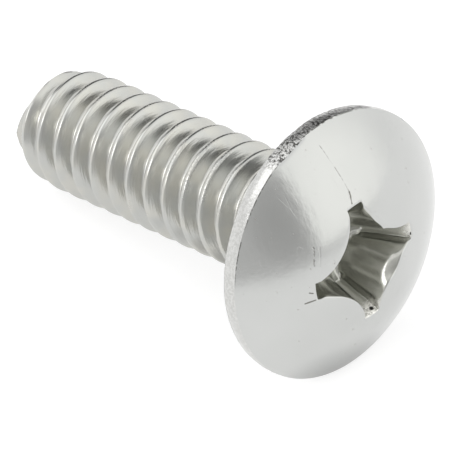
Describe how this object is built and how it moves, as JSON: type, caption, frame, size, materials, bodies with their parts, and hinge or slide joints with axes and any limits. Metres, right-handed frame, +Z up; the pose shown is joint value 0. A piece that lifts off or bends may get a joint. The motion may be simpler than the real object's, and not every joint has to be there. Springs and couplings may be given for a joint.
{
  "type": "truss head screw",
  "caption": "Low domed truss head machine screw with a cross recess, a square-cut rim and a fully threaded shank, lying on its side.",
  "frame": {"origin": "centre of the bearing face under the head", "axes": "+X towards the head and +Z up; the screw's axis lies in the XZ plane and rises 12.4 degrees towards the head, because the screw rests on its rim and on a thread crest near the point"},
  "size_m": [0.0228, 0.0138, 0.0136],
  "materials": {
    "steel": "bright stainless steel, smooth from heading and thread rolling, with a rough trimmed rim"
  },
  "bodies": {
    "root": {"screw": "steel"}
  },
  "joints": []
}
